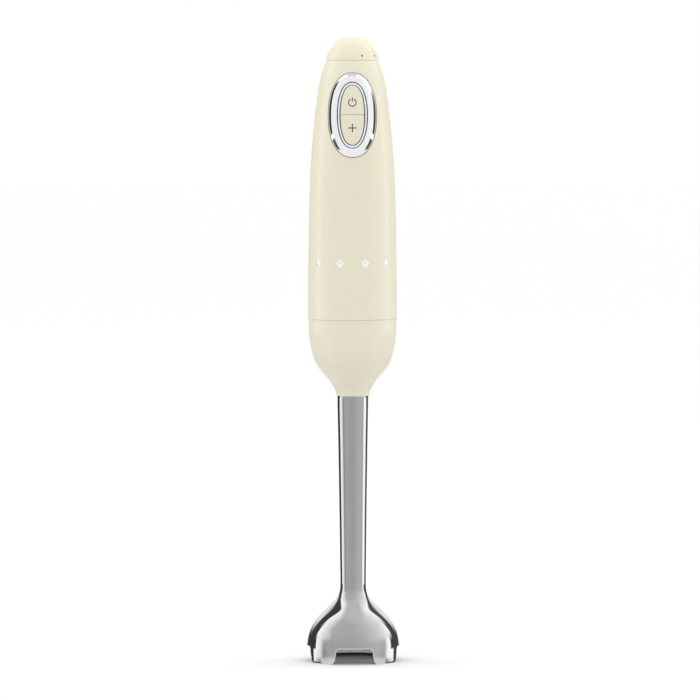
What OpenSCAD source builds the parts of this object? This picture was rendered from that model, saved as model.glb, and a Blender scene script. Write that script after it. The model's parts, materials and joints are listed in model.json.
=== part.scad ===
// Immersion blender: a motor unit held in one hand, with a speed dial on top and
// two push buttons on the front, and a detachable blending arm with a steel bell.
// +Z is up, the origin is the centre of the bell's rim, and the front faces -Y.

/* [Motor unit] */
// Radius of the motor housing at its widest, just above the seam
body_r = 29.7; // [29.4:0.1:30]
// Wall thickness of the motor housing
housing_wall = 2.4; // [2:0.1:2.6]
// Gap between the motor housing and the collar of the arm
seam_gap = 0.5; // [0.3:0.1:0.8]
// Number of plain trim studs on the front
stud_count = 4; // [3:1:5]
// Angle between neighbouring trim studs
stud_pitch = 32; // [22:1:36]

/* [Speed dial] */
// Height of the dial above the motor housing
dial_h = 16.6; // [15:0.2:18]
// Number of speed marks
mark_count = 5; // [3:1:6]
// Angle between neighbouring speed marks
mark_pitch = 36; // [24:2:40]
// Radius of a speed mark
mark_r = 0.6; // [0.4:0.05:0.9]

/* [Buttons] */
// Height of the middle of the button panel above the rim
btn_z = 357.9; // [356:0.1:360]
// Width of the button oval
btn_w = 15.4; // [14.8:0.1:15.6]
// Height of the button oval
btn_h = 38.7; // [38:0.1:39]
// Travel of each button
btn_travel = 1.2; // [0.8:0.1:1.4]
// Width of the chrome bezel
bezel_w = 31.2; // [30:0.2:32]
// Height of the chrome bezel
bezel_h = 55; // [53:0.5:56]
// How far the bezel stands out of the housing
bezel_proud = 0.9; // [0.5:0.1:1.2]

/* [Cord inlet] */
// Radius of the bore that the supply cord passes through
inlet_r = 3.6; // [3:0.1:4]
// Height of the cord inlet above the rim
inlet_z = 366; // [364:0.5:368]

/* [Arm lock] */
// Angle that the arm turns through to come free
lock_turn = 60; // [50:5:65]
// Distance that the arm drops while it turns
lock_drop = 10; // [9.6:0.2:10.4]
// Number of lugs on the spigot
lug_count = 3; // [2:1:3]

/* [Blending arm] */
// Wall thickness of the stem and the bell
steel_t = 1; // [0.8:0.05:1]
// Height of the three notches in the rim of the bell, at the front and the sides
notch_h = 10.2; // [8:0.2:11]
// Width of the flat top of each notch
notch_w = 19.6; // [16:0.2:21]
// Turn of the notches from the front
notch_turn = 1.5; // [0:0.5:5]
// Radius of the drive shaft
shaft_r = 3; // [2.8:0.05:3]

/* [Blade] */
// Reach of the long wings of the blade from the axis
blade_reach = 23; // [20:0.5:25]
// Thickness of the blade
blade_t = 1.4; // [1:0.1:1.6]

/* [Motor] */
// Length of the stator and armature stacks
stack_h = 30; // [28:1:30]
// Number of slots in the armature
slot_count = 12; // [8:2:14]
// Number of fan blades
fan_blades = 11; // [7:1:13]

/* [Hidden] */
$fn = 72;

cream = [0.93, 0.89, 0.77];
key_cream = [0.87, 0.83, 0.71];
chrome = [0.82, 0.83, 0.85];
steel = [0.68, 0.69, 0.70];
grey = [0.42, 0.41, 0.39];
dark = [0.16, 0.16, 0.17];
rubber = [0.10, 0.10, 0.11];
copper = [0.72, 0.42, 0.22];
brass = [0.78, 0.65, 0.34];
green = [0.10, 0.34, 0.20];

// Silhouette of the motor housing, [height, radius], from the seam to the top
seam_z = 224.3;
house_z0 = seam_z + seam_gap;
house_z1 = 393;
body_tab = [
  [house_z0, body_r], [250, body_r], [262.6, body_r - 0.1], [275.7, body_r - 0.3],
  [288.8, body_r - 0.5], [302, body_r - 0.8], [315.1, body_r - 1.2],
  [328.2, body_r - 1.9], [341.3, body_r - 3], [354.4, body_r - 4.3],
  [367.5, body_r - 5.9], [374.1, body_r - 6.8], [380.7, body_r - 7.8],
  [387.2, body_r - 9.1], [390.5, body_r - 10.1], [house_z1, body_r - 11]];
function rb(z) = lookup(z, body_tab);

// Silhouette of the collar, [radius, height], from its top to the stem
collar_pts = [
  [29.4, seam_z], [29.2, 216.7], [28.5, 210.1], [27.4, 203.6], [26.6, 200.3],
  [25.5, 197], [23.9, 193.7], [21.8, 191.1], [18.6, 187.2], [15.1, 183.4],
  [12.1, 179.2], [11.1, 176.4], [10.8, 174]];

// Silhouette of the stem and the bell, [radius, height], from the collar to the rim
stem_pts = [
  [10.3, 174], [9.7, 144.5], [9.3, 118.3], [8.9, 92], [8.6, 65.8], [8.4, 50],
  [8.6, 46.1], [9.7, 42.8], [12.2, 39.6], [15.6, 36.3], [19.4, 33], [22.6, 29.7],
  [25.3, 26.4], [27.5, 23.2], [29.1, 19.9], [30.1, 16.6], [30.6, 13.3],
  [30.75, 10], [30.75, 5], [30.6, 0]];

// Silhouette of the dial above the housing, [radius, share of the height]
dial_tab = [[17.8, 0], [16.9, 0.2], [15.5, 0.4], [13.4, 0.62], [10.2, 0.81],
  [5.6, 0.95], [0, 1]];
dial_z0 = house_z1 + 0.4;

// The button panel lies in a plane that leans back with the housing's taper
tilt = atan((rb(btn_z - 27.5) - rb(btn_z + 27.5)) / 55);
split_z = 0.2;
key_up = 8;
key_down = -8.5;

lug_z = 234;
lug_h = 2.5;
lug_half = 7;
stack_z = 266;
gland_y = 28.4;

module ring(r1, r2, z0, z1) {
  rotate_extrude() translate([r2, z0]) square([r1 - r2, z1 - z0]);
}

module body_solid(z0, z1, off) {
  rotate_extrude() polygon(concat(
    [[0, z0], [rb(z0) + off, z0]],
    [for (p = body_tab) if (p[0] > z0 + 0.01 && p[0] < z1 - 0.01) [p[1] + off, p[0]]],
    [[rb(z1) + off, z1], [0, z1]]));
}

module dial_solid(off) {
  rotate_extrude() polygon(concat([[0, dial_z0]],
    [for (p = dial_tab) [p[0] + (p[0] > 0 ? off : 0), dial_z0 + p[1] * dial_h]]));
}

module face_frame() {
  translate([0, -rb(btn_z), btn_z]) rotate([-tilt, 0, 0]) children();
}

// An oval a little squarer than an ellipse, pushed through from y0 to y1
module oval_prism(w, h, y0, y1, n = 48) {
  pw = 2 / 2.25;
  translate([0, y1, 0]) rotate([90, 0, 0]) linear_extrude(y1 - y0)
    polygon([for (i = [0 : n - 1]) let (a = 360 * i / n, c = cos(a), s = sin(a))
      [w / 2 * sign(c) * pow(abs(c), pw), h / 2 * sign(s) * pow(abs(s), pw)]]);
}

// Cylinder along +Y from y0 to y1
module ycyl(r, y0, y1, z = 0, x = 0) {
  translate([x, y0, z]) rotate([-90, 0, 0]) cylinder(r = r, h = y1 - y0);
}

// Straight run of wire between two points, with a round end at the second
module wire(a, b, r) {
  v = b - a;
  l = norm(v);
  translate(a) rotate([0, acos(v[2] / l), atan2(v[1], v[0])]) cylinder(r = r, h = l, $fn = 24);
  translate(b) sphere(r = r, $fn = 24);
}

// Coil spring along +Z
module coil(r, wr, len, turns, seg = 16, sides = 6) {
  n = turns * seg;
  pts = [for (i = [0 : n]) let (a = 360 * i / seg, z = wr + (len - 2 * wr) * i / n)
    for (j = [0 : sides - 1]) let (b = 360 * j / sides)
      [(r + wr * cos(b)) * cos(a), (r + wr * cos(b)) * sin(a), z + wr * sin(b)]];
  side_faces = [for (i = [0 : n - 1]) for (j = [0 : sides - 1])
    let (k = (j + 1) % sides) each [
      [i * sides + j, i * sides + k, (i + 1) * sides + k],
      [i * sides + j, (i + 1) * sides + k, (i + 1) * sides + j]]];
  ends = [[for (j = [sides - 1 : -1 : 0]) j], [for (j = [0 : sides - 1]) n * sides + j]];
  polyhedron(points = pts, faces = concat(side_faces, ends));
}

// ---------------------------------------------------------------- motor unit

module motor_housing() {
  color(cream) difference() {
    union() {
      rotate_extrude($fn = 96) polygon(concat(
        [for (p = body_tab) [p[1], p[0]]],
        [[4.65, house_z1], [4.65, house_z1 - 2.4], [rb(390.5) - housing_wall, house_z1 - 2.4]],
        [for (i = [len(body_tab) - 3 : -1 : 0]) [body_tab[i][1] - housing_wall, body_tab[i][0]]]));
      // three posts that the bayonet socket is screwed to
      for (k = [0 : 2]) rotate([0, 0, 120 * k + 90]) {
        translate([24.6, 0, 243.1]) cylinder(r = 2.3, h = 13);
        translate([24.6, -1.6, 243.1]) cube([body_r - 1.2 - 24.6, 3.2, 13]);
      }
    }
    for (k = [0 : 2]) rotate([0, 0, 120 * k + 90])
      translate([24.6, 0, 240]) cylinder(r = 1.3, h = 15);
    // recess for the bezel and the opening for the buttons
    difference() {
      face_frame() oval_prism(bezel_w + 0.3, bezel_h + 0.3, -5, 16);
      body_solid(322, house_z1, -1.6);
    }
    face_frame() oval_prism(19.8, 43.3, -5, 14);
    ycyl(6.05, 10, 32, inlet_z);
    ring(12.9, 11.1, house_z1 - 0.85, house_z1 + 1);
  }
}

module button_bezel() {
  color(chrome) difference() {
    intersection() {
      face_frame() oval_prism(bezel_w, bezel_h, -4, 15);
      body_solid(324, 391, bezel_proud);
    }
    body_solid(323, 392, -1.5);
    face_frame() oval_prism(20, 43.5, -6, 16);
  }
}

module button_surround() {
  color(chrome) intersection() {
    face_frame() difference() {
      oval_prism(19.6, 43.1, -4, 7);
      oval_prism(15.9, 39.2, -5, 8);
    }
    body_solid(324, 391, bezel_proud - 0.4);
  }
}

module trim_studs() {
  color(chrome) for (i = [0 : stud_count - 1])
    rotate([0, 0, (i - (stud_count - 1) / 2) * stud_pitch])
      difference() {
        intersection() {
          translate([0, -28, 261.5]) rotate([90, 0, 0]) linear_extrude(4)
            polygon([[-2.9, 0], [0, -3.1], [2.9, 0], [0, 3.1]]);
          body_solid(255, 268, 0.55);
        }
        body_solid(254, 269, 0.03);
      }
}

module dial_seal() {
  color(rubber) rotate_extrude() translate([12, house_z1 - 0.2]) circle(r = 0.6, $fn = 24);
}

module cord_gland() {
  color(cream) difference() {
    union() {
      ycyl(6, 17, gland_y, inlet_z);
      ycyl(7.6, 17, 19.6, inlet_z);
      difference() {
        ycyl(8.4, 20, gland_y, inlet_z);
        body_solid(350, 385, 0.06);
      }
    }
    ycyl(inlet_r, 10, 35, inlet_z);
  }
}

module switch_frame() {
  color([0.82, 0.82, 0.80]) difference() {
    union() {
      face_frame() {
        translate([-11, 7, -26]) cube([22, 2, 48]);
        for (s = [-1, 1]) translate([s * 11 - 1.5, 8.8, -38]) cube([3, 8.1, 60]);
      }
      translate([0, 0, 318]) cylinder(r = 17.8, h = 2.5);
      translate([0, 0, 372.5]) cylinder(r = 15.5, h = 2.5);
    }
    face_frame() for (z = [key_up, key_down]) ycyl(1.6, 5, 11, z);
    face_frame() for (x = [-11, 11]) for (z = [-30, 10]) ycyl(0.95, 10, 19, z, x);
    translate([0, 0, 310]) cylinder(r = 9, h = 20);
    translate([-30, -30, 305]) cube([60, 60, 13]);
    for (x = [-14, 14]) translate([x, 5, 315]) cylinder(r = 1.15, h = 10);
    for (x = [-13.5, 13.5]) translate([x, -6.5, 315]) cylinder(r = 1.3, h = 8);
  }
}

module frame_screws() {
  color(steel) for (x = [-14, 14]) translate([x, 5, 0]) {
    translate([0, 0, 315.3]) cylinder(r = 0.95, h = 5.3, $fn = 24);
    translate([0, 0, 320.5]) cylinder(r = 1.9, h = 1.5, $fn = 24);
  }
}

module circuit_board() {
  color(green) face_frame() difference() {
    translate([-13.5, 16.9, -34]) cube([27, 1.6, 47]);
    for (x = [-11, 11]) for (z = [-30, 10]) ycyl(1.1, 15, 20, z, x);
  }
}

module pcb_screws() {
  color(steel) face_frame() for (x = [-11, 11]) for (z = [-30, 10]) {
    ycyl(0.9, 11, 18.6, z, x);
    ycyl(1.8, 18.5, 19.8, z, x);
  }
}

module capacitor() {
  color(copper) face_frame() {
    translate([4.5, 22.6, -18]) cylinder(r = 3.9, h = 14);
    ycyl(0.4, 18.5, 20, -16, 4.5);
    ycyl(0.4, 18.5, 20, -6, 4.5);
  }
}

module terminal_block() {
  color([0.20, 0.42, 0.30]) face_frame() difference() {
    translate([-6, 18.5, -2]) cube([12, 8, 8]);
    for (x = [-3, 3]) {
      ycyl(1.2, 22, 30, 2, x);
      translate([x, 23, 3]) cylinder(r = 1.1, h = 6);
    }
  }
}

module micro_switch(z) {
  color(dark) face_frame() difference() {
    translate([-6.4, 10.9, z - 2.9]) cube([12.8, 5.9, 5.8]);
    ycyl(1.9, 9, 13.3, z);
  }
}
module power_switch() { micro_switch(key_up); }
module turbo_switch() { micro_switch(key_down); }

module key_spring(z) {
  color(steel) face_frame() translate([0, 3.25, z]) rotate([-90, 0, 0]) coil(2.5, 0.28, 3.7, 4);
}
module power_spring() { key_spring(key_up); }
module turbo_spring() { key_spring(key_down); }

module potentiometer() {
  color([0.35, 0.40, 0.48]) difference() {
    union() {
      translate([0, 0, 375]) cylinder(r = 8, h = 7);
      translate([0, 0, 381.9]) cylinder(r = 4.5, h = 2.6);
      translate([-4, 6, 375]) cube([8, 5, 2]);
    }
    translate([0, 0, 377.5]) cylinder(r = 3.05, h = 10);
  }
}

module motor_leads() {
  color([0.62, 0.14, 0.12]) for (s = [-1, 1]) {
    a = [s * 7, -9, 326.2];
    b = [s * 13.5, -6.5, 323.4];
    c = [s * 13.5, -6.5, 311];
    d = [s * 13.5, -4.1, 308.4];
    wire(a, b, 0.8);
    wire(b, c, 0.8);
    wire(c, d, 0.8);
  }
}

module bayonet_socket() {
  step = lock_turn / 6;
  color(dark) difference() {
    rotate_extrude($fn = 96) polygon([[20, 227], [26.9, 227], [26.9, 243], [10, 243],
      [10, 240], [20, 240]]);
    // ramped slots for the lugs of the arm
    for (k = [0 : lug_count - 1]) for (i = [0 : 5])
      rotate([0, 0, 360 / lug_count * k + step * i - lug_half - 0.4])
        rotate_extrude(angle = step + 2 * lug_half + 0.8)
          translate([19, lug_z - lock_drop * (i + 1) / 6 - 0.3])
            square([3.2 + 0.04 * i, lug_h + lock_drop / 6 + 0.6]);
    for (k = [0 : 2]) rotate([0, 0, 120 * k + 90]) {
      translate([24.6, 0, 226]) cylinder(r = 1.4, h = 20);
      translate([24.6, 0, 226]) cylinder(r = 2.25, h = 3);
    }
  }
}

module base_screws() {
  color(steel) for (k = [0 : 2]) rotate([0, 0, 120 * k + 90]) translate([24.6, 0, 0]) {
    translate([0, 0, 228.9]) cylinder(r = 1.25, h = 25, $fn = 32);
    translate([0, 0, 227.3]) cylinder(r = 2.1, h = 1.7, $fn = 32);
  }
}

module rubber_dampers() {
  color(rubber) {
    ring(20, 13, 243, 245);
    ring(rb(318) - housing_wall - 0.08, 21.95, 314.6, 317.8);
  }
}

module lower_motor_bracket() {
  color(steel) difference() {
    rotate_extrude($fn = 96) polygon([[5, 245], [21.9, 245], [21.9, stack_z],
      [18.6, stack_z], [18.6, 247], [11, 247], [11, 252], [8.03, 252], [8.03, 246], [5, 246]]);
    for (s = [-1, 1]) translate([0, s * 20.3, 250]) cylinder(r = 1.3, h = 20);
    for (k = [0 : 7]) rotate([0, 0, 45 * k + 22.5]) translate([17, -3, 250]) cube([8, 6, 12]);
    for (k = [0 : 5]) rotate([0, 0, 60 * k]) translate([14.8, 0, 244]) cylinder(r = 2.2, h = 5);
    // room for the ends of the field coils
    for (x = [-1, 1]) for (y = [-1, 1])
      translate([x * 10.5 - 5.7, y * 16.7 - 6.3, 258.6]) cube([11.4, 12.6, 10]);
  }
}

module upper_motor_bracket() {
  color(steel) difference() {
    union() {
      translate([0, 0, 315]) cylinder(r = 21.9, h = 3);
      translate([0, 0, 313.5]) cylinder(r = 8.5, h = 6.5);
      intersection() {
        ring(21.9, 18.6, stack_z + 30, 315.5);
        for (a = [25, 155, 205, 335]) rotate([0, 0, a]) translate([15, -3, stack_z + 30]) cube([9, 6, 20]);
      }
    }
    translate([0, 0, 312]) cylinder(r = 6.53, h = 6.5);
    translate([0, 0, 312]) cylinder(r = 3, h = 10);
    for (s = [-1, 1]) translate([0, s * 20.3, 312]) cylinder(r = 1.4, h = 10);
    for (x = [-14, 14]) translate([x, 5, 312]) cylinder(r = 1, h = 10);
    for (x = [-13.5, 13.5]) translate([x, -6.5, 312]) cylinder(r = 1.3, h = 10);
  }
}

module motor_screws() {
  color(chrome) for (s = [-1, 1]) translate([0, s * 20.3, 0]) {
    translate([0, 0, 251]) cylinder(r = 1.25, h = 67.1, $fn = 32);
    translate([0, 0, 318]) cylinder(r = 2.2, h = 1.9, $fn = 32);
  }
}

module field_core() {
  color([0.45, 0.46, 0.48]) translate([0, 0, stack_z + 15 - stack_h / 2]) linear_extrude(stack_h)
    difference() {
      intersection() {
        circle(r = 22);
        square([50, 37], center = true);
      }
      circle(r = 12.3);
      for (x = [-1, 1]) for (y = [-1, 1])
        translate([x * 11.1 - 3.1, y * 9.3 - 6.3]) square([6.2, 12.6]);
    }
}

module field_coils() {
  color(copper) for (s = [-1, 1]) translate([0, s * 14 + 1.2, stack_z + 15]) rotate([90, 0, 0])
    linear_extrude(2.4) difference() {
      square([27.4, 42], center = true);
      square([16.8, 32], center = true);
    }
}

module ball_bearing(r1, r2, z0, z1) {
  color(chrome) difference() {
    ring(r1, r2, z0, z1);
    ring(r1 * 0.62 + r2 * 0.38, r1 * 0.38 + r2 * 0.62, z1 - 0.5, z1 + 1);
    ring(r1 * 0.62 + r2 * 0.38, r1 * 0.38 + r2 * 0.62, z0 - 1, z0 + 0.5);
  }
}
module lower_bearing() { ball_bearing(8, 2.55, 246, 251); }
module upper_bearing() { ball_bearing(6.5, 2.55, 314, 318.4); }

module brush_holders() {
  color(brass) for (s = [0, 180]) rotate([0, 0, s]) {
    difference() {
      translate([9.5, -3.2, 303.9]) cube([10, 6.4, 7.2]);
      translate([9, -2.45, 304.95]) cube([10, 4.9, 5.1]);
    }
    translate([14, -2, 311.05]) cube([3, 4, 3.95]);
  }
}

module carbon_brushes() {
  color([0.14, 0.14, 0.15]) for (s = [0, 180]) rotate([0, 0, s])
    translate([7.5, -2.4, 305]) cube([7.5, 4.8, 5]);
}

module brush_springs() {
  color(steel) for (s = [0, 180]) rotate([0, 0, s])
    translate([15.05, 0, 307.5]) rotate([0, 90, 0]) coil(1.6, 0.25, 3.9, 4);
}

// ---------------------------------------------------------------- speed dial

module speed_dial() {
  color(cream) difference() {
    union() {
      difference() {
        dial_solid(0);
        rotate_extrude() polygon([[0, dial_z0 - 1], [15.9, dial_z0 - 1], [15.9, dial_z0],
          [14.6, dial_z0 + 0.26 * dial_h], [11, dial_z0 + 0.6 * dial_h],
          [6, dial_z0 + 0.74 * dial_h], [0, dial_z0 + 0.76 * dial_h]]);
      }
      translate([0, 0, 386.6]) cylinder(r = 4.6, h = dial_z0 + 0.8 * dial_h - 386.6);
    }
    translate([0, 0, 386]) cylinder(r = 3.02, h = 7);
    ring(6, 3.9, 389, 389.9);
    for (i = [0 : mark_count - 1]) rotate([0, 0, 22 + mark_pitch * i])
      translate([0, 0, 396.2]) rotate([90, 0, 0]) translate([0, 0, 16.1]) cylinder(r = mark_r + 0.03, h = 4, $fn = 24);
  }
}

module speed_marks() {
  color(dark) intersection() {
    union() for (i = [0 : mark_count - 1]) rotate([0, 0, 22 + mark_pitch * i])
      translate([0, 0, 396.2]) rotate([90, 0, 0]) translate([0, 0, 16.15]) cylinder(r = mark_r, h = 3, $fn = 24);
    dial_solid(0.04);
  }
}

module dial_shaft() {
  color(steel) translate([0, 0, 378]) cylinder(r = 3, h = 14.9);
}

module dial_clip() {
  color(steel) difference() {
    ring(7, 3.95, 389.1, 389.8);
    translate([-2.2, 3, 388]) cube([4.4, 6, 3]);
  }
}

// ------------------------------------------------------------------- buttons

module key_cap(lower) {
  intersection() {
    face_frame() intersection() {
      oval_prism(btn_w, btn_h, -4, 3.2);
      translate([-20, -10, lower ? -40 : split_z + 0.17]) cube([40, 20, lower ? 40 + split_z - 0.17 : 40]);
    }
    body_solid(324, 391, 0.2);
  }
}

module power_shape(y0, y1, g) {
  translate([0, 0, key_up + 0.1]) {
    difference() {
      ycyl(2.75 + g, y0, y1);
      ycyl(2.15 - g, y0 - 1, y1 + 1);
      translate([-1.1 + g, y0 - 2, 0]) cube([2.2 - 2 * g, y1 - y0 + 4, 5]);
    }
    translate([-0.3 - g, y0, 0.5 - g]) cube([0.6 + 2 * g, y1 - y0, 2.8 + 2 * g]);
  }
}

module plus_shape(y0, y1, g) {
  translate([-0.35 - g, y0, key_down - 2.8 - g]) cube([0.7 + 2 * g, y1 - y0, 5.6 + 2 * g]);
  translate([-2.8 - g, y0, key_down - 0.35 - g]) cube([5.6 + 2 * g, y1 - y0, 0.7 + 2 * g]);
}

module power_button() {
  color(key_cream) difference() {
    key_cap(false);
    difference() {
      face_frame() power_shape(-4, 2, 0.03);
      body_solid(324, 391, -0.35);
    }
  }
}

module power_icon() {
  color(grey) difference() {
    intersection() {
      face_frame() power_shape(-4, 1.8, 0);
      body_solid(324, 391, 0.22);
    }
    body_solid(323, 392, -0.32);
  }
}

module turbo_button() {
  color(key_cream) difference() {
    key_cap(true);
    difference() {
      face_frame() plus_shape(-4, 2, 0.03);
      body_solid(324, 391, -0.35);
    }
  }
}

module plus_icon() {
  color(grey) difference() {
    intersection() {
      face_frame() plus_shape(-4, 1.8, 0);
      body_solid(324, 391, 0.22);
    }
    body_solid(323, 392, -0.32);
  }
}

module key_plunger(z) {
  color([0.75, 0.75, 0.73]) face_frame() ycyl(1.55, 3.2, 10.4, z);
}
module power_plunger() { key_plunger(key_up); }
module turbo_plunger() { key_plunger(key_down); }

// --------------------------------------------------------------------- rotor

module motor_shaft() {
  color(chrome) translate([0, 0, 230]) cylinder(r = 2.5, h = 88.2);
}

module armature_core() {
  color([0.40, 0.41, 0.43]) translate([0, 0, stack_z + 15 - stack_h / 2]) linear_extrude(stack_h)
    difference() {
      circle(r = 11.8);
      circle(r = 2.52);
      for (i = [0 : slot_count - 1]) rotate(360 * i / slot_count) {
        translate([8.4, 0]) circle(r = 1.5, $fn = 24);
        translate([9, -0.6]) square([4, 1.2]);
      }
    }
}

module armature_winding() {
  color(copper) {
    for (z = [261, 296.2]) ring(11, 3.2, z, z + 4.8);
    for (i = [0 : slot_count - 1]) rotate([0, 0, 360 * i / slot_count])
      translate([8.4, 0, 264]) cylinder(r = 1.35, h = 34, $fn = 24);
  }
}

module commutator() {
  color(copper) difference() {
    ring(7.4, 2.52, 304, 312);
    for (i = [0 : slot_count - 1]) rotate([0, 0, 360 * (i + 0.5) / slot_count])
      translate([6.9, -0.2, 303]) cube([2, 0.4, 10]);
  }
}

module cooling_fan() {
  color(dark) difference() {
    union() {
      translate([0, 0, 253]) cylinder(r = 17.8, h = 1.2);
      translate([0, 0, 253]) cylinder(r = 5, h = 6.4);
      for (i = [0 : fan_blades - 1]) rotate([0, 0, 360 * i / fan_blades])
        translate([4.5, -0.5, 253.5]) cube([13, 1, 5.9]);
    }
    translate([0, 0, 250]) cylinder(r = 2.52, h = 12);
  }
}

module motor_coupling() {
  color([0.85, 0.85, 0.83]) difference() {
    union() {
      translate([0, 0, 224]) cylinder(r = 5.2, h = 12.1, $fn = 6);
      translate([0, 0, 236]) cylinder(r = 6.5, h = 5);
    }
    translate([0, 0, 229.9]) cylinder(r = 2.52, h = 15);
  }
}

// -------------------------------------------------------------- blending arm

module shaft_upper_bush() {
  color(brass) ring(8.85, shaft_r + 0.05, 194, 204);
}

module shaft_lower_bush() {
  color(brass) ring(5.45, shaft_r + 0.05, 34, 58);
}

module lip_seal() {
  color(rubber) rotate_extrude() polygon([[5.45, 25], [5.45, 32], [3.9, 32],
    [3.9, 28], [shaft_r + 0.04, 26.4], [shaft_r + 0.04, 25]]);
}

module arm_collar() {
  color(cream) difference() {
    union() {
      rotate_extrude($fn = 96) polygon(concat(collar_pts, [[9.95, 174], [9.95, 207.8],
        [13.5, 207.8], [13.5, 194.5], [21.6, 194.5], [23.6, 198.5], [25.4, 206.5],
        [26.3, 212], [26.8, seam_z]]));
      for (k = [0 : 2]) rotate([0, 0, 120 * k + 30])
        translate([21.5, 0, 193.8]) cylinder(r = 2.4, h = 15.2);
    }
    for (k = [0 : 2]) rotate([0, 0, 120 * k + 30])
      translate([21.5, 0, 200]) cylinder(r = 1.15, h = 12, $fn = 32);
  }
}

module arm_spigot() {
  color([0.90, 0.88, 0.80]) difference() {
    union() {
      rotate_extrude($fn = 96) polygon([[9, 209], [25, 209], [25, 212], [19.5, 212],
        [19.5, 229.3], [18.3, 229.3], [18.3, 231.3], [19.5, 231.3], [19.5, 238],
        [16.5, 238], [16.5, 212], [9, 212]]);
      for (k = [0 : lug_count - 1]) rotate([0, 0, 360 / lug_count * k - lug_half])
        rotate_extrude(angle = 2 * lug_half) translate([19, lug_z]) square([2.8, lug_h]);
    }
    for (k = [0 : 2]) rotate([0, 0, 120 * k + 30])
      translate([21.5, 0, 205]) cylinder(r = 1.3, h = 12, $fn = 32);
  }
}

module arm_screws() {
  color(steel) for (k = [0 : 2]) rotate([0, 0, 120 * k + 30]) translate([21.5, 0, 0]) {
    translate([0, 0, 201]) cylinder(r = 1.1, h = 11.1, $fn = 32);
    translate([0, 0, 212]) cylinder(r = 1.85, h = 1.5, $fn = 32);
  }
}

module spigot_seal() {
  color(rubber) rotate_extrude() translate([19.05, 230.3]) circle(r = 0.7, $fn = 24);
}

module notch_shape() {
  a = notch_w / 2;
  h = notch_h;
  half = concat(
    [for (t = [90 : -15 : 0]) [a + 2.3 * cos(t), h - 2.3 + 2.3 * sin(t)]],
    [[a + 2.7, h * 0.48], [a + 3.4, h * 0.24], [a + 4.9, 0], [a + 5.2, -3]]);
  polygon(concat(half, [for (i = [len(half) - 1 : -1 : 0]) [-half[i][0], half[i][1]]]));
}

module stem_and_bell() {
  n = len(stem_pts);
  color(steel) difference() {
    rotate_extrude($fn = 96) polygon(concat(
      [[8.9, 209], [13, 209], [13, 207.8], [9.9, 207.8], [9.9, 174]], stem_pts,
      [for (i = [n - 1 : -1 : 0]) let (
        p = stem_pts[i], a = stem_pts[max(i - 1, 0)], b = stem_pts[min(i + 1, n - 1)],
        d = (b - a) / norm(b - a), q = p + steel_t * [d[1], -d[0]])
        i == n - 1 ? [p[0] - steel_t, 0] : i == 0 ? [p[0] - steel_t, 172.5] : q],
      [[8.9, 176]]));
    for (a = [0, 90]) rotate([0, 0, a + notch_turn]) translate([0, a == 0 ? 0 : 45, 0]) rotate([90, 0, 0])
      linear_extrude(a == 0 ? 45 : 90) notch_shape();
  }
}

module bearing_hub() {
  color([0.30, 0.31, 0.33]) rotate_extrude() polygon([[7.3, 60], [7.3, 41], [9.4, 38.6],
    [11, 35], [11, 25], [9.5, 23.5], [5.5, 23.5], [5.5, 60]]);
}

module drive_shaft() {
  color(chrome) {
    translate([0, 0, 16]) cylinder(r = shaft_r, h = 203.5);
    translate([0, 0, 16]) cylinder(r = 4.6, h = 6.9);
    translate([0, 0, 12.3]) cylinder(r = 2.4, h = 4);
  }
}

module shaft_coupling() {
  color(dark) difference() {
    translate([0, 0, 212.6]) cylinder(r = 8.5, h = 21.4);
    translate([0, 0, 222]) cylinder(r = 5.6, h = 14, $fn = 6);
    translate([0, 0, 211]) cylinder(r = shaft_r + 0.02, h = 9);
  }
}

// One wing of the blade, bent about its root
module wing(len, w, bend) {
  translate([5.2, 0, 16 - blade_t]) rotate([0, -bend, 0]) linear_extrude(blade_t)
    polygon([[-1, -w / 2], [len * 0.45, -w * 0.55], [len * 0.98, -w * 0.22],
      [len, w * 0.18], [len * 0.5, w * 0.42], [-1, w / 2]]);
}

module blade() {
  color(chrome) difference() {
    union() {
      translate([0, 0, 16 - blade_t]) cylinder(r = 6, h = blade_t);
      wing(blade_reach - 5.2, 10, 17);
      rotate([0, 0, 180]) wing(blade_reach - 5.2, 10, -8);
      rotate([0, 0, 90]) wing(blade_reach - 9, 9, 22);
      rotate([0, 0, 270]) wing(blade_reach - 9, 9, 22);
    }
    translate([0, 0, 5]) cylinder(r = 2.42, h = 20);
    // clearance under the shoulder of the shaft
    translate([0, 0, 16]) cylinder(r = 4.9, h = 8);
  }
}

module blade_nut() {
  color(chrome) difference() {
    union() {
      translate([0, 0, 12.2]) cylinder(r = 4, h = 2.4, $fn = 6);
      translate([0, 0, 11.5]) cylinder(r1 = 2.6, r2 = 3.6, h = 0.8);
    }
    translate([0, 0, 12]) cylinder(r = 2.42, h = 5);
  }
}

motor_housing();
button_bezel();
button_surround();
trim_studs();
dial_seal();
cord_gland();
terminal_block();
switch_frame();
frame_screws();
circuit_board();
pcb_screws();
capacitor();
power_switch();
turbo_switch();
power_spring();
turbo_spring();
potentiometer();
motor_leads();
bayonet_socket();
base_screws();
rubber_dampers();
lower_motor_bracket();
upper_motor_bracket();
motor_screws();
field_core();
field_coils();
lower_bearing();
upper_bearing();
brush_holders();
carbon_brushes();
brush_springs();
speed_dial();
speed_marks();
dial_shaft();
dial_clip();
power_button();
power_icon();
power_plunger();
turbo_button();
plus_icon();
turbo_plunger();
motor_shaft();
armature_core();
armature_winding();
commutator();
cooling_fan();
motor_coupling();
shaft_upper_bush();
shaft_lower_bush();
lip_seal();
arm_collar();
arm_spigot();
arm_screws();
spigot_seal();
stem_and_bell();
bearing_hub();
drive_shaft();
shaft_coupling();
blade();
blade_nut();
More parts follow.
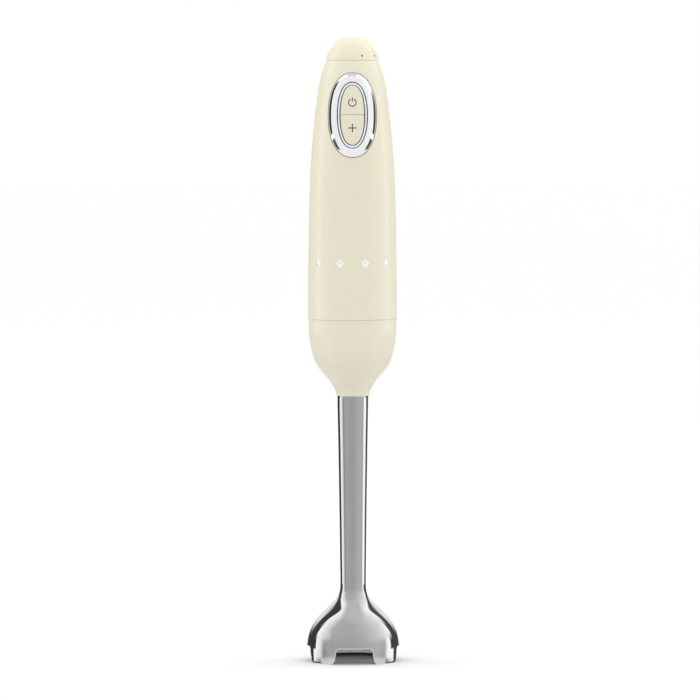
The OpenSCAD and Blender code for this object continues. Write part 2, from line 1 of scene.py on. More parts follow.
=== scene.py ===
import bpy, json, math
import numpy as np
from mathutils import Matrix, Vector

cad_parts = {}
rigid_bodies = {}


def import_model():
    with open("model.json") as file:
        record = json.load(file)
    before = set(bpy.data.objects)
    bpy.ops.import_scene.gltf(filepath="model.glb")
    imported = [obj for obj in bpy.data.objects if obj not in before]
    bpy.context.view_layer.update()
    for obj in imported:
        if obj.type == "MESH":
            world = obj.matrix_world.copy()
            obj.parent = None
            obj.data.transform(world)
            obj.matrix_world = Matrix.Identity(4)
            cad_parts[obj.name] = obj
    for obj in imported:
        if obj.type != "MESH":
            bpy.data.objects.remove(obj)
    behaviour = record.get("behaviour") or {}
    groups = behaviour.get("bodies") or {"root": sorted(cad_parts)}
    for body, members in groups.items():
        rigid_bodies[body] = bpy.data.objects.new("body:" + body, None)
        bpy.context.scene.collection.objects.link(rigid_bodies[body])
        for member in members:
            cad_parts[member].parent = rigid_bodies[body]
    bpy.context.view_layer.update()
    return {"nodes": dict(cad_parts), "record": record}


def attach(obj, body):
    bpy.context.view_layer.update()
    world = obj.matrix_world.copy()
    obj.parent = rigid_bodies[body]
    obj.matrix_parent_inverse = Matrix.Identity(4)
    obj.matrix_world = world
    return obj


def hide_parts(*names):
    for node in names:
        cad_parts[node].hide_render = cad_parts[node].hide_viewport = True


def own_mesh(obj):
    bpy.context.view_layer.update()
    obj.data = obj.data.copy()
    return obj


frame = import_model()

SC = bpy.context.scene
MM = 0.001

# ------------------------------------------------------------------ design numbers (mm)
BODY_R = 29.7
SEAM = 224.3
HOUSE0 = 224.8
HOUSE1 = 393.1
BODY = [(HOUSE0, BODY_R), (250, BODY_R), (262.6, BODY_R - 0.1), (275.7, BODY_R - 0.3),
        (288.8, BODY_R - 0.5), (302, BODY_R - 0.8), (315.1, BODY_R - 1.25), (328.2, BODY_R - 1.95),
        (341.3, BODY_R - 3.0), (354.4, BODY_R - 4.3), (367.5, BODY_R - 5.9), (374.1, BODY_R - 6.85),
        (380.7, BODY_R - 8.0), (387.2, BODY_R - 9.65), (390.5, BODY_R - 10.75), (393.1, BODY_R - 11.8)]
COLLAR = [(29.4, SEAM), (29.3, 219.5), (29.0, 214.0), (28.5, 210.1), (28.0, 206.8), (27.4, 203.6), (26.6, 200.3),
          (25.5, 197), (24.0, 193.9), (21.9, 190.9), (18.6, 187.2), (15.1, 183.0),
          (12.6, 179.4), (11.2, 176.4), (10.8, 174)]
STEM = [(10.3, 174), (10.05, 160), (9.7, 144.5), (9.5, 131), (9.3, 118.3), (9.1, 105), (8.9, 92), (8.73, 78),
        (8.6, 65.8), (8.45, 56), (8.42, 50), (8.65, 46.1), (9.7, 42.8), (12.2, 39.6), (15.6, 36.3), (19.3, 33),
        (22.6, 29.7), (25.3, 26.4), (27.4, 23.2), (28.95, 19.9), (29.95, 16.6), (30.5, 13.3),
        (30.72, 10), (30.72, 5), (30.6, 0)]
DIAL = [(17.8, 393.3), (17.35, 395), (16.75, 397), (15.5, 400.1), (13.4, 403.6), (10.3, 406.8), (5.6, 409.25), (0.0, 410.0)]
BTN_Z = 357.9
BTN_W, BTN_H = 15.4, 38.7
BEZ_W, BEZ_H = 31.2, 55.0


# ------------------------------------------------------------------ curves
def spline(pts, step=0.6, smooth=0.0):
    """Natural cubic spline through 2-D points by chord length, resampled evenly, then softened."""
    p = np.array(pts, float)
    d = np.r_[0, np.cumsum(np.linalg.norm(np.diff(p, axis=0), axis=1))]
    n = len(p)
    t = np.linspace(0, d[-1], max(8, int(d[-1] / step)) + 1)
    out = []
    for k in range(2):
        y = p[:, k]
        h = np.diff(d)
        A = np.zeros((n, n)); b = np.zeros(n)
        A[0, 0] = A[-1, -1] = 1
        for i in range(1, n - 1):
            A[i, i - 1], A[i, i], A[i, i + 1] = h[i - 1], 2 * (h[i - 1] + h[i]), h[i]
            b[i] = 6 * ((y[i + 1] - y[i]) / h[i] - (y[i] - y[i - 1]) / h[i - 1])
        m = np.linalg.solve(A, b)
        i = np.clip(np.searchsorted(d, t) - 1, 0, n - 2)
        hh = h[i]; a0 = (d[i + 1] - t) / hh; a1 = (t - d[i]) / hh
        out.append(a0 * y[i] + a1 * y[i + 1] + ((a0**3 - a0) * m[i] + (a1**3 - a1) * m[i + 1]) * hh * hh / 6)
    q = np.array(out).T
    if smooth > 0:
        ds = d[-1] / (len(t) - 1)
        w = int(math.ceil(3 * smooth / ds))
        k = np.exp(-0.5 * (np.arange(-w, w + 1) * ds / smooth) ** 2); k /= k.sum()
        ext = np.r_[2 * q[:1] - q[w:0:-1], q, 2 * q[-1:] - q[-2:-w - 2:-1]]
        q = np.array([np.convolve(ext[:, j], k, "valid") for j in range(2)]).T
    return q


body_prof = spline([(r, z) for z, r in BODY], 0.7, 5.0)      # (r, z), rising
body_prof[:, 1] = np.maximum.accumulate(body_prof[:, 1])
collar_prof = spline(COLLAR, 0.5, 1.6)
stem_prof = spline(STEM, 0.55, 2.2)
dial_prof = spline(DIAL, 0.35, 0.8)
dial_prof[-1] = (0.0, 410.0)


def rb(z):
    return np.interp(z, body_prof[:, 1], body_prof[:, 0])


def fillet(pts, which, rad, n=5):
    """Rounds chosen corners of a polyline, given {index: radius}."""
    out = []
    for i, p in enumerate(pts):
        if i in which:
            a, b, c = np.array(pts[i - 1], float), np.array(p, float), np.array(pts[(i + 1) % len(pts)], float)
            r = which[i] if isinstance(which, dict) else rad
            u, v = (a - b) / np.linalg.norm(a - b), (c - b) / np.linalg.norm(c - b)
            ang = math.acos(max(-1, min(1, float(u @ v))))
            L = r / math.tan(ang / 2)
            s, e = b + u * L, b + v * L
            ctr = b + (u + v) / np.linalg.norm(u + v) * (r / math.sin(ang / 2))
            for k in range(n + 1):
                t = k / n
                q = s * (1 - t) + e * t
                q = ctr + (q - ctr) / np.linalg.norm(q - ctr) * r
                out.append(tuple(q))
        else:
            out.append(tuple(p))
    return out


# ------------------------------------------------------------------ mesh helpers
def new_mesh(name, verts, faces, mats, face_mat=None, smooth=True):
    me = bpy.data.meshes.new(name)
    me.from_pydata([tuple(v) for v in np.asarray(verts, float) * MM], [], [tuple(int(i) for i in f) for f in faces])
    me.validate(verbose=False)
    for m in mats:
        me.materials.append(m)
    if face_mat is not None:
        me.polygons.foreach_set("material_index", np.asarray(face_mat, np.int32))
    me.polygons.foreach_set("use_smooth", np.full(len(me.polygons), smooth))
    me.update()
    ob = bpy.data.objects.new(name, me)
    SC.collection.objects.link(ob)
    return ob


def weld(ob, dist=1e-6):
    import bmesh
    bm = bmesh.new(); bm.from_mesh(ob.data)
    bmesh.ops.remove_doubles(bm, verts=bm.verts, dist=dist)
    bmesh.ops.dissolve_degenerate(bm, edges=bm.edges, dist=dist * 0.5)
    bmesh.ops.recalc_face_normals(bm, faces=bm.faces)
    bm.to_mesh(ob.data); bm.free()
    return ob


def sharpen(ob, deg=38):
    """Marks the hard edges, so that smooth shading breaks there."""
    import bmesh
    bm = bmesh.new(); bm.from_mesh(ob.data)
    lim = math.radians(deg)
    for e in bm.edges:
        e.smooth = not (len(e.link_faces) == 2 and e.calc_face_angle(0) > lim)
    bm.to_mesh(ob.data); bm.free()
    return ob


def lathe(name, prof, mats, segs=192, closed=True, mat_of=None, axis="z", origin=(0, 0, 0)):
    """Turns a profile of (r, z) points. Points with r = 0 become poles. A closed profile joins up."""
    prof = [(max(0.0, float(r)), float(z)) for r, z in prof]
    th = np.linspace(0, 2 * math.pi, segs, endpoint=False)
    verts, rows = [], []
    for r, z in prof:
        if r < 1e-6:
            rows.append([len(verts)] * segs); verts.append((0, 0, z))
        else:
            rows.append(list(range(len(verts), len(verts) + segs)))
            verts += [(r * math.cos(t), r * math.sin(t), z) for t in th]
    faces, fm = [], []
    n = len(prof)
    for i in range(n if closed else n - 1):
        a, b = rows[i], rows[(i + 1) % n]
        if a[0] == a[1] and b[0] == b[1]:
            continue
        for j in range(segs):
            k = (j + 1) % segs
            if a[0] == a[1]:
                f = (a[0], b[k], b[j])
            elif b[0] == b[1]:
                f = (a[j], a[k], b[0])
            else:
                f = (a[j], a[k], b[k], b[j])
            faces.append(f); fm.append(mat_of(i) if mat_of else 0)
    v = np.array(verts, float)
    if axis == "y":
        v = np.c_[v[:, 0], v[:, 2], -v[:, 1]]
    v = v + np.array(origin, float)
    ob = new_mesh(name, v, faces, mats, fm)
    return weld(ob)


# ------------------------------------------------------------------ the leaning button panel
_tilt = math.atan((float(rb(BTN_Z - 27.5)) - float(rb(BTN_Z + 27.5))) / 55)
_tilt = math.radians(6.8995)
_O = np.array([0.0, -25.24, BTN_Z])
_X = np.array([1.0, 0, 0]); _Y = np.array([0, math.cos(_tilt), -math.sin(_tilt)]); _Z = np.array([0, math.sin(_tilt), math.cos(_tilt)])


def local_y(u, v, h):
    """Depth, along the panel's inward normal, of the body's surface raised by h at panel point (u, v)."""
    u, v, h = np.broadcast_arrays(*[np.asarray(a, float) for a in (u, v, h)])
    lo, hi = np.full(u.shape, -6.0), np.full(u.shape, 18.0)
    for _ in range(44):
        mid = (lo + hi) / 2
        P = _O + u[..., None] * _X + mid[..., None] * _Y + v[..., None] * _Z
        out = np.hypot(P[..., 0], P[..., 1]) > rb(P[..., 2]) + h
        out |= P[..., 1] > 0
        lo = np.where(out, mid, lo); hi = np.where(out, hi, mid)
    return (lo + hi) / 2


def panel(u, v, y):
    u, v, y = np.broadcast_arrays(*[np.asarray(a, float) for a in (u, v, y)])
    return _O + u[..., None] * _X + y[..., None] * _Y + v[..., None] * _Z


def on_body(u, v, h):
    return panel(u, v, local_y(u, v, h))


def oval(w, h, n=192, e=2.25):
    a = np.linspace(0, 2 * math.pi, n, endpoint=False)
    c, s = np.cos(a), np.sin(a)
    p = np.c_[w / 2 * np.sign(c) * np.abs(c) ** (2 / e), h / 2 * np.sign(s) * np.abs(s) ** (2 / e)]
    d = np.r_[0, np.cumsum(np.linalg.norm(np.diff(np.r_[p, p[:1]], axis=0), axis=1))]   # even spacing
    q = np.r_[p, p[:1]]
    t = np.linspace(0, d[-1], n, endpoint=False)
    return np.c_[np.interp(t, d, q[:, 0]), np.interp(t, d, q[:, 1])]


def band(name, rows, mats, n=192, fm=None):
    """A closed ring of rows of points, each row (n, 3); the last row joins the first."""
    R = len(rows)
    verts = np.concatenate(rows)
    faces = []
    for i in range(R):
        j = (i + 1) % R
        for k in range(n):
            l = (k + 1) % n
            faces.append((i * n + k, i * n + l, j * n + l, j * n + k))
    ob = new_mesh(name, verts, faces, mats)
    return weld(ob, 1e-7)


# ------------------------------------------------------------------ materials
def mat(name, color, rough=(0.3, 0.4), metal=0.0, bump=0.05, scale=900, var=0.03, coat=0.0, coat_rough=0.03,
        stretch=(1, 1, 1), spec=0.5, detail=4.0, second=None, bump_dist=0.0002, ior=1.5, sheen=0.0):
    """Principled surface: colour variation, roughness variation and fine relief, all from noise in the object's own space."""
    m = bpy.data.materials.new(name)
    m.use_nodes = True
    nt = m.node_tree; N = nt.nodes; L = nt.links
    N.clear()
    out = N.new("ShaderNodeOutputMaterial"); bs = N.new("ShaderNodeBsdfPrincipled")
    L.new(bs.outputs[0], out.inputs[0])
    tc = N.new("ShaderNodeTexCoord"); mp = N.new("ShaderNodeMapping")
    mp.inputs["Scale"].default_value = stretch
    L.new(tc.outputs["Object"], mp.inputs[0])
    n1 = N.new("ShaderNodeTexNoise"); n1.inputs["Scale"].default_value = scale; n1.inputs["Detail"].default_value = detail
    L.new(mp.outputs[0], n1.inputs["Vector"])
    n2 = N.new("ShaderNodeTexNoise"); n2.inputs["Scale"].default_value = scale * 0.06; n2.inputs["Detail"].default_value = 3
    L.new(mp.outputs[0], n2.inputs["Vector"])
    # colour
    cr = N.new("ShaderNodeValToRGB")
    c = np.array(color[:3], float)
    c2 = np.array(second, float) if second is not None else c * (1 - var)
    cr.color_ramp.elements[0].position = 0.35; cr.color_ramp.elements[0].color = (*c2, 1)
    cr.color_ramp.elements[1].position = 0.65; cr.color_ramp.elements[1].color = (*np.clip(c * (1 + var * 0.5), 0, 1), 1)
    L.new((n2 if second is None else n1).outputs[0], cr.inputs[0])
    L.new(cr.outputs[0], bs.inputs["Base Color"])
    # roughness
    mr = N.new("ShaderNodeMapRange")
    mr.inputs["From Min"].default_value = 0.3; mr.inputs["From Max"].default_value = 0.7
    mr.inputs["To Min"].default_value = rough[0]; mr.inputs["To Max"].default_value = rough[1]
    L.new(n2.outputs[0], mr.inputs[0]); L.new(mr.outputs[0], bs.inputs["Roughness"])
    # relief
    if bump > 0:
        bp = N.new("ShaderNodeBump"); bp.inputs["Strength"].default_value = bump; bp.inputs["Distance"].default_value = bump_dist
        L.new(n1.outputs[0], bp.inputs["Height"]); L.new(bp.outputs[0], bs.inputs["Normal"])
    bs.inputs["Metallic"].default_value = metal
    bs.inputs["Specular IOR Level"].default_value = spec
    bs.inputs["IOR"].default_value = ior
    bs.inputs["Coat Weight"].default_value = coat
    bs.inputs["Coat Roughness"].default_value = coat_rough
    if sheen:
        bs.inputs["Sheen Weight"].default_value = sheen
        bs.inputs["Sheen Roughness"].default_value = 0.30
        bs.inputs["Sheen Tint"].default_value = (1.0, 0.99, 0.96, 1)
    m["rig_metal"] = metal
    return m


M = {}
M["cream"] = mat("cream_gloss_plastic", (0.705, 0.668, 0.530), (0.10, 0.15), bump=0.010, scale=420, var=0.006, ior=1.40, sheen=0.75)
M["key"] = mat("key_soft_plastic", (0.705, 0.668, 0.530), (0.36, 0.46), bump=0.22, scale=5200, var=0.02, bump_dist=0.00006)
M["icon"] = mat("printed_grey", (0.060, 0.056, 0.052), (0.40, 0.55), bump=0.10, scale=6000, var=0.06, bump_dist=0.00003)
M["satin"] = mat("satin_silver", (0.93, 0.935, 0.95), (0.20, 0.27), metal=0.38, bump=0.05, scale=3600, var=0.015, coat=0.25, bump_dist=0.00004)
M["chrome"] = mat("bright_chrome", (0.93, 0.94, 0.965), (0.035, 0.06), metal=1, bump=0.012, scale=1500, var=0.01)
M["steel"] = mat("polished_stainless", (0.665, 0.668, 0.672), (0.045, 0.075), metal=1, bump=0.015, scale=1400, var=0.012, stretch=(1, 1, 0.06))
# near-black steel for the back of the rolled lip: painted shade seen through the front notch
M["rim_in"] = mat("rim_painted_shade_steel", (0.05, 0.05, 0.052), (0.60, 0.75), metal=0.2, bump=0.25, scale=1600, var=0.15, spec=0.2)
# rougher, unpolished steel inside the bell; its darker colour than the outside is partly painted shade for the inside
M["steel_in"] = mat("bell_inside_steel", (0.55, 0.55, 0.555), (0.38, 0.52), metal=1, bump=0.25, scale=1600, var=0.15, stretch=(1, 1, 4))
M["machined"] = mat("machined_steel", (0.50, 0.51, 0.52), (0.22, 0.34), metal=1, bump=0.10, scale=2600, var=0.06)
M["blade"] = mat("ground_blade_steel", (0.60, 0.61, 0.62), (0.16, 0.26), metal=1, bump=0.14, scale=1800, var=0.04, stretch=(0.15, 1, 1))
M["lamination"] = mat("stacked_laminations", (0.22, 0.23, 0.25), (0.40, 0.55), metal=0.9, bump=0.55, scale=900, var=0.12, stretch=(0.05, 0.05, 3.2))
M["copper"] = mat("enamelled_copper", (0.60, 0.25, 0.10), (0.22, 0.34), metal=1, bump=0.55, scale=1500, var=0.14, stretch=(1, 1, 3), coat=0.4)
M["brass"] = mat("sintered_bronze", (0.62, 0.43, 0.19), (0.30, 0.46), metal=1, bump=0.25, scale=4200, var=0.10)
M["carbon"] = mat("graphite", (0.03, 0.03, 0.033), (0.45, 0.62), bump=0.30, scale=5200, var=0.20)
# black rubber for the rubber parts; also the thin black line round the bezel, which is painted shade for the gap
M["rubber"] = mat("black_rubber_and_bezel_shade_line", (0.022, 0.022, 0.024), (0.55, 0.70), bump=0.25, scale=3800, var=0.15)
# black plastic for the dark plastic parts; also laid on the housing's pocket and gland recess as painted shade
M["dark"] = mat("black_plastic_and_recess_shade", (0.030, 0.030, 0.033), (0.38, 0.52), bump=0.22, scale=3200, var=0.16)
M["natural"] = mat("natural_nylon", (0.60, 0.59, 0.54), (0.36, 0.50), bump=0.16, scale=2600, var=0.04)
M["board"] = mat("solder_mask", (0.015, 0.115, 0.045), (0.22, 0.36), bump=0.35, scale=1100, second=(0.03, 0.20, 0.08), coat=0.3)
M["wire"] = mat("wire_insulation", (0.33, 0.022, 0.018), (0.34, 0.46), bump=0.10, scale=3000, var=0.08)
M["cap"] = mat("film_capacitor", (0.34, 0.14, 0.035), (0.16, 0.24), bump=0.10, scale=1600, var=0.08, coat=0.5)
M["pot"] = mat("potentiometer_case", (0.035, 0.065, 0.14), (0.36, 0.48), bump=0.18, scale=3000, var=0.10)
SLOT = {"cream_gloss": "cream", "key_cream": "key", "icon_grey": "icon", "bright_chrome": "chrome", "polished_steel": "steel",
        "steel": "machined", "lamination": "lamination", "copper": "copper", "brass": "brass", "carbon": "carbon",
        "rubber_black": "rubber", "dark_plastic": "dark", "natural_plastic": "natural", "board_green": "board",
        "wire_red": "wire", "film_cap": "cap", "pot_blue": "pot"}
for s in frame["record"]["subparts"]:
    ob = frame["nodes"][s["node"]]
    m = M[SLOT[s["material_slot"]]]
    if not ob.material_slots:
        ob.data.materials.append(m)
    for ms in ob.material_slots:
        ms.material = m


def done(ob, body, slot, *nodes):
    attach(ob, body)
    if nodes:
        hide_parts(*nodes)
    return ob


# ------------------------------------------------------------------ motor housing
def housing():
    zb = SEAM + 0.32
    o = [tuple(p) for p in body_prof if zb + 0.3 < p[1] < HOUSE1 - 0.3]
    r0, r1 = float(rb(HOUSE0)), float(rb(HOUSE1))
    bot = [(r0 - 0.25 + 0.25 * math.sin(a), zb + 0.25 - 0.25 * math.cos(a)) for a in np.linspace(0, math.pi / 2, 6)]
    rt = 0.18
    top = [(r1 - rt + rt * math.cos(a), HOUSE1 - rt + rt * math.sin(a)) for a in np.linspace(0.2, math.pi / 2, 6)]
    inner_top = [(15.72, HOUSE1), (15.62, HOUSE1 + 0.08), (15.45, 393.75), (14.6, 393.85), (14.4, HOUSE1), (13.4, HOUSE1), (12.9, HOUSE1), (12.9, 392.15), (11.1, 392.15), (11.1, 393.0), (4.9, 393.0), (4.65, 392.75), (4.65, 390.6)]
    zin = np.linspace(390.6, zb, 46)
    inn = [(float(rb(z)) - 2.4, z) for z in zin]
    prof = bot + o + top + inner_top + inn
    segs = 288
    ob = lathe("motor_housing_shell", prof, [M["cream"], M["dark"]], segs)
    me = ob.data
    co = np.empty(len(me.vertices) * 3); me.vertices.foreach_get("co", co); co = co.reshape(-1, 3) / MM
    rr = np.hypot(co[:, 0], co[:, 1])
    outer = (rr > rb(co[:, 2]) - 1.0) & (co[:, 2] > HOUSE0 + 1) & (co[:, 2] < HOUSE1 - 1.5)
    # pocket under the bezel, and behind the gland
    d = co - _O
    u, v = d @ _X, d @ _Z
    rho = (np.abs(u / (BEZ_W / 2)) ** 2.25 + np.abs(v / (BEZ_H / 2)) ** 2.25) ** (1 / 2.25)
    pocket = outer & (co[:, 1] < 0) & (rho < 0.84)
    g = outer & (co[:, 1] > 0) & (np.hypot(co[:, 0], co[:, 2] - 366) < 5.2)
    for sel, depth in ((pocket, 2.35), (g, 2.3)):
        f = (rr[sel] - depth) / rr[sel]
        co[sel, 0] *= f; co[sel, 1] *= f
    me.vertices.foreach_set("co", (co * MM).ravel())
    # faces in the pocket and behind the gland get black plastic: painted shade for the recess
    recess_painted_shade = pocket | g
    for p in me.polygons:
        if any(recess_painted_shade[i] for i in p.vertices):
            p.material_index = 1
    me.update()
    sharpen(ob, 40)
    return done(ob, "motor_unit", "cream_gloss", "motor_housing")


housing()


# ------------------------------------------------------------------ dial
def dial():
    o = [tuple(p) for p in dial_prof if p[1] > 393.3 + 0.35]
    o[-1] = (0.0, 410.0)
    b = [(17.5, 393.20), (17.63, 393.23), (17.70, 393.32), (17.71, 393.45)]
    # outer skin, then the hollow underside with the hub
    hollow = [(0.0, 393.0), (3.02, 393.0), (3.02, 386.6), (4.35, 386.6), (4.6, 386.85), (4.6, 388.98), (3.9, 388.98), (3.9, 389.92), (4.6, 389.92),
              (4.6, 404.6), (6.0, 404.9), (9.0, 404.0), (11.6, 402.2), (14.0, 398.6), (15.5, 395.6), (15.75, 394.6), (15.9, 393.20)]
    prof = hollow + b + o
    ob = lathe("speed_dial_cap", prof, [M["cream"]], 192, closed=False)
    sharpen(ob, 42)
    done(ob, "speed_dial", "cream_gloss", "speed_dial")


dial()


def dial_marks():
    V, F = [], []
    rad = 0.62
    for i in range(5):
        a = math.radians(22 + 36 * i)
        rings = [(rad, -0.12), (rad, 0.015), (rad * 0.8, 0.035), (rad * 0.4, 0.04)]
        base = len(V)
        n = 24
        for rr, h in rings:
            for k in range(n):
                t = 2 * math.pi * k / n
                du, dz = rr * math.cos(t), rr * math.sin(t)
                z = 396.2 + dz * 0.97
                R = float(np.interp(z, dial_prof[:, 1], dial_prof[:, 0])) + h
                th = a + du / 17.0
                V.append((R * math.sin(th), -R * math.cos(th), z + h * 0.25))
        R = float(np.interp(396.2, dial_prof[:, 1], dial_prof[:, 0]))
        V.append(((R + 0.04) * math.sin(a), -(R + 0.04) * math.cos(a), 396.21)); top = len(V) - 1
        V.append(((R - 0.12) * math.sin(a), -(R - 0.12) * math.cos(a), 396.17)); bot = len(V) - 1
        for q in range(len(rings) - 1):
            for k in range(n):
                l = (k + 1) % n
                F.append((base + q * n + k, base + q * n + l, base + (q + 1) * n + l, base + (q + 1) * n + k))
        e = base + (len(rings) - 1) * n
        for k in range(n):
            l = (k + 1) % n
            F.append((e + k, e + l, top)); F.append((base + l, base + k, bot))
    ob = new_mesh("speed_marks_inlaid", V, F, [M["icon"]])
    weld(ob, 1e-8)
    done(ob, "speed_dial", "icon_grey", "speed_marks")


dial_marks()


# ------------------------------------------------------------------ bezel and surround
def bezel():
    n = 288
    W = 5.6
    G = [(-0.34, -1.3), (-0.34, -0.02), (-0.30, 0.035), (-0.22, 0.05), (0.0, 0.05)]       # black line round the edge, in the rubber material: painted shade for the gap between bezel and housing
    L0 = G + [(0.02, -0.1), (0.06, -0.16), (0.12, -0.2)]
    bev = [(0.12 + 1.80 * t, -0.2 + 1.40 * t - 0.04 * math.sin(math.pi * t)) for t in np.linspace(0.08, 1, 9)]
    cx, cz = bev[-1]
    crest = [(cx + 0.18, cz + 0.075), (cx + 0.4, cz + 0.115), (cx + 0.7, cz + 0.125)]
    face = [(cx + 0.7 + (4.95 - cx - 0.7) * t, cz + 0.125 - 0.20 * t ** 1.6) for t in np.linspace(0.1, 1, 9)]
    fx, fz = face[-1]
    roll = [(fx + 0.62 * math.sin(q), fz - 0.62 + 0.62 * math.cos(q)) for q in np.linspace(0.25, math.pi / 2, 7)]
    P = L0 + bev + crest + face + roll + [(fx + 0.62, -0.5), (fx + 0.62, -1.3)]
    rows, kind = [], []
    for i, (d, h) in enumerate(P):
        q = oval(BEZ_W - 2 * d, BEZ_H - 2 * d, n)
        rows.append(on_body(q[:, 0], q[:, 1], h * 0.95))
        kind.append(2 if i < len(G) + 1 else 1 if len(L0) + len(bev) <= i < len(L0) + len(bev) + len(crest) + len(face) + 2 else 0)
    V = np.concatenate(rows); F, fm = [], []
    R = len(rows)
    for i in range(R):
        j = (i + 1) % R
        for k in range(n):
            l = (k + 1) % n
            F.append((i * n + k, i * n + l, j * n + l, j * n + k)); fm.append(kind[i])
    ob = new_mesh("button_bezel_ring", V, F, [M["chrome"], M["satin"], M["rubber"]], fm)
    weld(ob, 1e-7); sharpen(ob, 50)
    done(ob, "motor_unit", "bright_chrome", "button_bezel")


def surround():
    n = 240
    w0, h0 = 18.95, 42.3
    W = 1.15
    rows = []
    P = [(0.0, -3.0), (0.0, -0.6)] + [(W / 2 - W / 2 * math.cos(a), -0.5 + 0.85 * math.sin(a)) for a in np.linspace(0, math.pi, 17)] + [(W, -0.6), (W, -3.0)]
    for d, h in P:
        q = oval(w0 - 2 * d, h0 - 2 * d, n)
        if h < -2:
            rows.append(panel(q[:, 0], q[:, 1], np.full(n, 6.9)))
        else:
            rows.append(on_body(q[:, 0], q[:, 1], h))
    ob = band("button_surround_ring", rows, [M["satin"]], n)
    sharpen(ob, 50)
    done(ob, "motor_unit", "bright_chrome", "button_surround")


bezel(); surround()


# ------------------------------------------------------------------ keys and their signs
def key(name, lower, body, node):
    full = oval(BTN_W, BTN_H, 400)
    split = 0.2
    edge = split - 0.11 if lower else split + 0.11
    pts = full[full[:, 1] < edge] if lower else full[full[:, 1] > edge]
    # order by angle about the half's middle and close with the straight edge
    c = np.array([0, (pts[:, 1].min() + pts[:, 1].max()) / 2])
    a = np.arctan2(pts[:, 1] - c[1], pts[:, 0])
    pts = pts[np.argsort(a)]
    xe = float(np.interp(abs(edge), [0, 0.5], [BTN_W / 2, BTN_W / 2 - 0.001]))
    xs = np.linspace(-xe + 0.25, xe - 0.25, 30)
    # round the two corners at the split a little
    line = np.c_[xs, np.full(30, edge)]
    keep = pts[np.abs(pts[:, 1] - edge) > 0.28]
    poly = np.r_[keep, line]
    a = np.arctan2(poly[:, 1] - c[1], poly[:, 0])
    poly = poly[np.argsort(a)]
    d = np.r_[0, np.cumsum(np.linalg.norm(np.diff(np.r_[poly, poly[:1]], axis=0), axis=1))]
    n = 220
    t = np.linspace(0, d[-1], n, endpoint=False)
    q = np.r_[poly, poly[:1]]
    P = np.c_[np.interp(t, d, q[:, 0]), np.interp(t, d, q[:, 1])]
    tang = np.roll(P, -1, 0) - np.roll(P, 1, 0)
    nrm = np.c_[tang[:, 1], -tang[:, 0]]; nrm /= np.linalg.norm(nrm, axis=1)[:, None]
    if ((P - c) * nrm).sum() < 0:
        nrm = -nrm
    rows = []
    rows.append(panel(P[:, 0], P[:, 1], np.full(n, 3.2)))
    e = 0.45
    rows.append(on_body(P[:, 0], P[:, 1], 0.2 - 1.6))
    for al in np.linspace(0, math.pi / 2, 6):
        off = e * (1 - math.cos(al))
        Q = P - nrm * off
        rows.append(on_body(Q[:, 0], Q[:, 1], 0.2 - e * (1 - math.sin(al))))
    for s in (0.93, 0.8, 0.65, 0.5, 0.35, 0.2, 0.08):
        Q = c + (P - nrm * e - c) * s
        rows.append(on_body(Q[:, 0], Q[:, 1], 0.2))
    V = list(np.concatenate(rows)); F = []
    R = len(rows)
    for i in range(R - 1):
        for k in range(n):
            l = (k + 1) % n
            F.append((i * n + k, i * n + l, (i + 1) * n + l, (i + 1) * n + k))
    V.append(on_body(c[0], c[1], 0.2)); V.append(panel(c[0], c[1], 3.2))
    for k in range(n):
        l = (k + 1) % n
        F.append(((R - 1) * n + k, (R - 1) * n + l, len(V) - 2)); F.append((l, k, len(V) - 1))
    ob = new_mesh(name, V, F, [M["key"]])
    weld(ob, 1e-7); sharpen(ob, 45)
    done(ob, body, "key_cream", node)


key("power_key", False, "power_button", "power_button")
key("boost_key", True, "turbo_button", "turbo_button")


def return_spring(name, node):
    """The coil behind a key, a copy of the CAD node's mesh, fixed to the motor unit."""
    src = frame["nodes"][node]
    me = src.data.copy(); me.name = name
    me.transform(src.matrix_world)
    ob = bpy.data.objects.new(name, me)
    SC.collection.objects.link(ob)
    me.materials.clear(); me.materials.append(M["machined"])
    done(ob, "motor_unit", "steel", node)
    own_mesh(ob)


return_spring("power_return_spring", "power_spring")
return_spring("boost_return_spring", "turbo_spring")


def sign(name, outlines, body, node):
    """Thin raised print: each outline is a closed loop of panel points (u, v), filled between an outer and an inner edge."""
    V, F = [], []
    for A, B in outlines:             # two matching edges, strip between them
        n = len(A)
        base = len(V)
        for h in (0.235, 0.06):
            for E in (A, B):
                V += list(on_body(E[:, 0], E[:, 1], h))
        a0, b0, a1, b1 = base, base + n, base + 2 * n, base + 3 * n
        for k in range(n - 1):
            F += [(a0 + k, a0 + k + 1, b0 + k + 1, b0 + k), (a1 + k + 1, a1 + k, b1 + k, b1 + k + 1),
                  (a0 + k + 1, a0 + k, a1 + k, a1 + k + 1), (b0 + k, b0 + k + 1, b1 + k + 1, b1 + k)]
        F += [(a0, b0, b1, a1), (b0 + n - 1, a0 + n - 1, a1 + n - 1, b1 + n - 1)]
    ob = new_mesh(name, V, F, [M["icon"]], smooth=False)
    import bmesh
    bm = bmesh.new(); bm.from_mesh(ob.data); bmesh.ops.recalc_face_normals(bm, faces=bm.faces); bm.to_mesh(ob.data); bm.free()
    done(ob, body, "icon_grey", node)


def bar(x0, x1, y0, y1, n=10, along="y"):
    if along == "y":
        t = np.linspace(y0, y1, n); return np.c_[np.full(n, x0), t], np.c_[np.full(n, x1), t]
    t = np.linspace(x0, x1, n); return np.c_[t, np.full(n, y0)], np.c_[t, np.full(n, y1)]


KU, KD = 8.1, -8.5
ang = np.radians(np.linspace(90 + 26, 90 + 334, 60))
arc = (np.c_[2.75 * np.cos(ang), KU + 2.75 * np.sin(ang)], np.c_[2.12 * np.cos(ang), KU + 2.12 * np.sin(ang)])
sign("power_sign", [arc, bar(-0.32, 0.32, KU + 0.5, KU + 3.3)], "power_button", "power_icon")
sign("boost_sign", [bar(-0.34, 0.34, KD - 2.8, KD + 2.8), bar(-2.8, -0.34, KD - 0.34, KD + 0.34, along="x"), bar(0.34, 2.8, KD - 0.34, KD + 0.34, along="x")],
     "turbo_button", "plus_icon")


